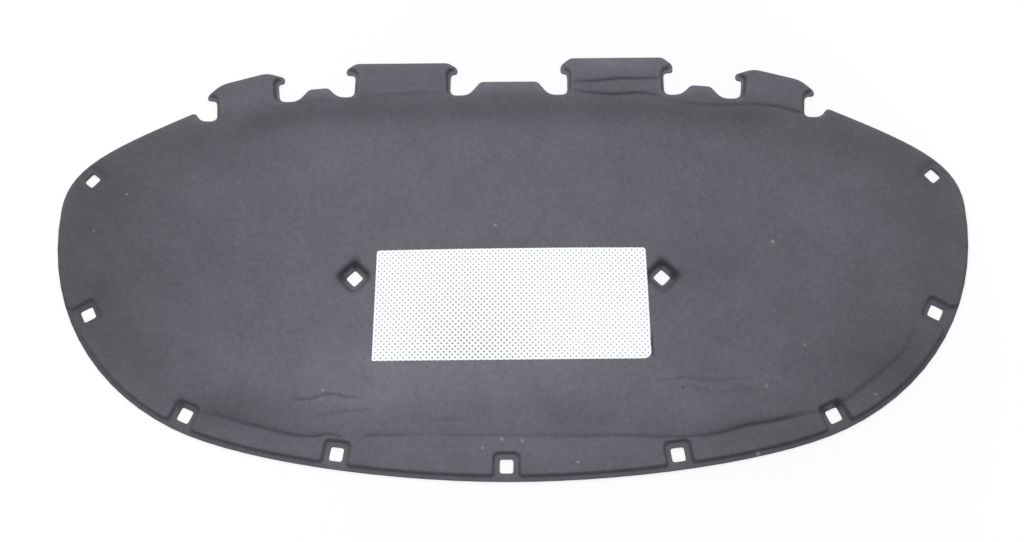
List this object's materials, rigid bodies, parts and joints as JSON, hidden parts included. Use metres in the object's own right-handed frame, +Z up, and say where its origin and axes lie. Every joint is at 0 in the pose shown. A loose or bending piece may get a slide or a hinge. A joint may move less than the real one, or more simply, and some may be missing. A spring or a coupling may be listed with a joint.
{
  "type": "hood insulation pad",
  "caption": "Moulded felt pad that lines the underside of a vehicle hood, with a pressed flange, tabs, square clip holes and a perforated foil heat shield.",
  "frame": {"origin": "on the surface the pad lies on, under the middle of its bounding box", "axes": "+X across the vehicle along the pad's width, +Y towards the tabs at the rear edge, +Z up out of the foil side"},
  "size_m": [1.25, 0.611, 0.0129],
  "materials": {
    "felt": "matt pressed fibre felt with a non-woven face",
    "foil": "bright, finely perforated"
  },
  "bodies": {
    "root": {"insulation_pad": "felt", "foil_heat_shield": "foil"}
  },
  "joints": []
}
